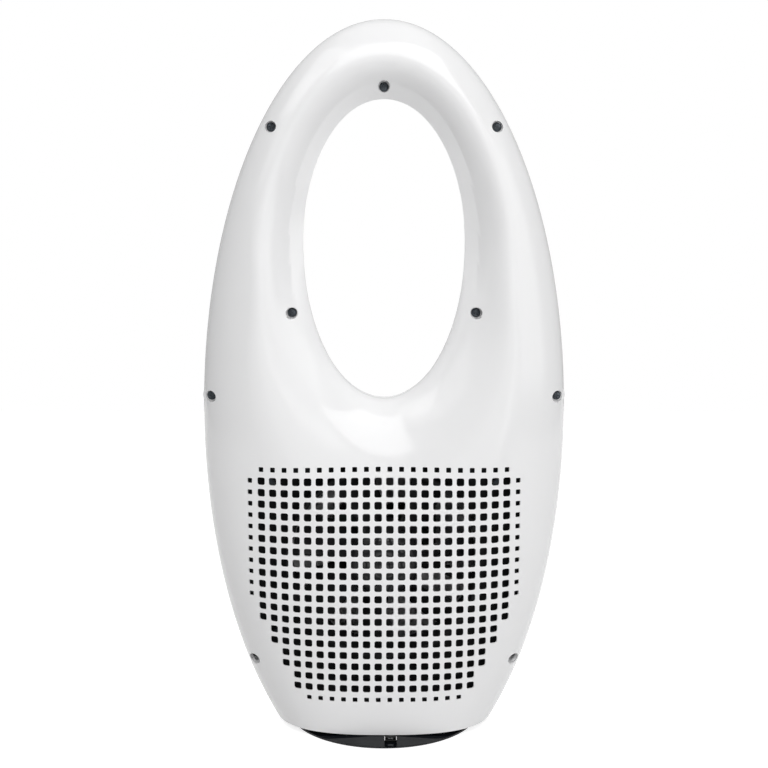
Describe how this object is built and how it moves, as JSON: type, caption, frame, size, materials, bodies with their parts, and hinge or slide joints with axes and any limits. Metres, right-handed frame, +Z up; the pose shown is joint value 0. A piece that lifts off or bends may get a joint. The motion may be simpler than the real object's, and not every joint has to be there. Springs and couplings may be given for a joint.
{
  "type": "bladeless fan",
  "caption": "Bladeless table fan: an egg-shaped hollow casing with an oval air loop, a perforated rear intake, front buttons and a round swivelling foot.",
  "frame": {"origin": "middle of the foot, on the surface that the fan stands on", "axes": "+Z up, +Y the way the air leaves, with the intake side facing -Y, and +X to the right as seen from the intake side"},
  "size_m": [0.2226, 0.12, 0.4335],
  "materials": {
    "white_gloss": "high-gloss white moulded plastic",
    "foot_gloss": "high-gloss bluish charcoal moulded plastic",
    "black_plastic": "fine-textured black moulded plastic",
    "smoked_plastic": "translucent smoke-grey moulded plastic",
    "button_plastic": "satin light grey moulded plastic",
    "acetal": "natural acetal, slightly waxy",
    "screw_metal": "blackened steel with a bluish cast",
    "inlet_metal": "nickel-plated pressed sheet",
    "plain_steel": "zinc-plated steel",
    "ferrite": "dark grey sintered ferrite",
    "winding_copper": "enamelled copper wire on a steel core",
    "circuit_board": "green solder mask",
    "pad_rubber": "black moulded rubber"
  },
  "bodies": {
    "foot": {"foot_cover": "foot_gloss", "foot_plate": "black_plastic", "ballast_plate": "plain_steel", "power_inlet": "inlet_metal", "foot_pad_1": "pad_rubber", "foot_pad_2": "pad_rubber", "foot_pad_3": "pad_rubber", "foot_pad_4": "pad_rubber", "foot_screw_1": "screw_metal", "foot_screw_2": "screw_metal", "foot_screw_3": "screw_metal", "swivel_spindle": "acetal", "fixed_gear": "acetal", "spindle_clip": "plain_steel", "thrust_washer": "acetal"},
    "casing": {"base_plate": "black_plastic", "base_screw_rear_left": "screw_metal", "base_screw_rear_right": "screw_metal", "base_screw_front_left": "screw_metal", "base_screw_front_right": "screw_metal", "swivel_motor": "plain_steel", "swivel_motor_screw_1": "screw_metal", "swivel_motor_screw_2": "screw_metal", "rear_cover": "white_gloss", "intake_grille": "white_gloss", "front_cover": "white_gloss", "cover_screw_top": "screw_metal", "cover_screw_shoulder_left": "screw_metal", "cover_screw_shoulder_right": "screw_metal", "cover_screw_inner_left": "screw_metal", "cover_screw_inner_right": "screw_metal", "cover_screw_hip_left": "screw_metal", "cover_screw_hip_right": "screw_metal", "cover_screw_low_left": "screw_metal", "cover_screw_low_right": "screw_metal", "fan_housing": "black_plastic", "housing_screw_high_left": "screw_metal", "housing_screw_high_right": "screw_metal", "housing_screw_low_left": "screw_metal", "housing_screw_low_right": "screw_metal", "motor_bracket": "black_plastic", "bracket_screw_1": "screw_metal", "bracket_screw_2": "screw_metal", "bracket_screw_3": "screw_metal", "motor_stator": "winding_copper", "motor_board": "circuit_board", "bearing_front": "plain_steel", "bearing_rear": "plain_steel", "control_panel": "foot_gloss", "control_board": "circuit_board"},
    "rotor": {"motor_shaft": "plain_steel", "rotor_can": "plain_steel", "rotor_magnet": "ferrite", "impeller": "smoked_plastic", "impeller_cap": "smoked_plastic"},
    "pinion": {"oscillation_pinion": "acetal"},
    "power_key": {"button_power": "button_plastic"},
    "speed_key": {"button_speed": "button_plastic"},
    "swing_key": {"button_swing": "button_plastic"}
  },
  "joints": [
    {"name": "body_swivel", "type": "hinge", "parent": "foot", "child": "casing", "pos_m": [0, 0, 0.01], "axis": [0, 0, 1], "range_deg": [-40, 40]},
    {"name": "impeller_spin", "type": "hinge", "parent": "casing", "child": "rotor", "pos_m": [0, 0, 0.107], "axis": [0, 1, 0], "continuous": true},
    {"name": "pinion_spin", "type": "hinge", "parent": "casing", "child": "pinion", "pos_m": [0, 0.02413, 0.0165], "axis": [0, 0, 1], "range_deg": [-125, 125]},
    {"name": "power_press", "type": "slide", "parent": "casing", "child": "power_key", "axis": [0, -1, 0], "range_m": [0, 0.001], "stiffness_N_per_m": 400},
    {"name": "speed_press", "type": "slide", "parent": "casing", "child": "speed_key", "axis": [0, -1, 0], "range_m": [0, 0.001], "stiffness_N_per_m": 400},
    {"name": "swing_press", "type": "slide", "parent": "casing", "child": "swing_key", "axis": [0, -1, 0], "range_m": [0, 0.001], "stiffness_N_per_m": 400}
  ],
  "couplings": [
    {"joint": "pinion_spin", "follows": "body_swivel", "ratio": 3}
  ]
}
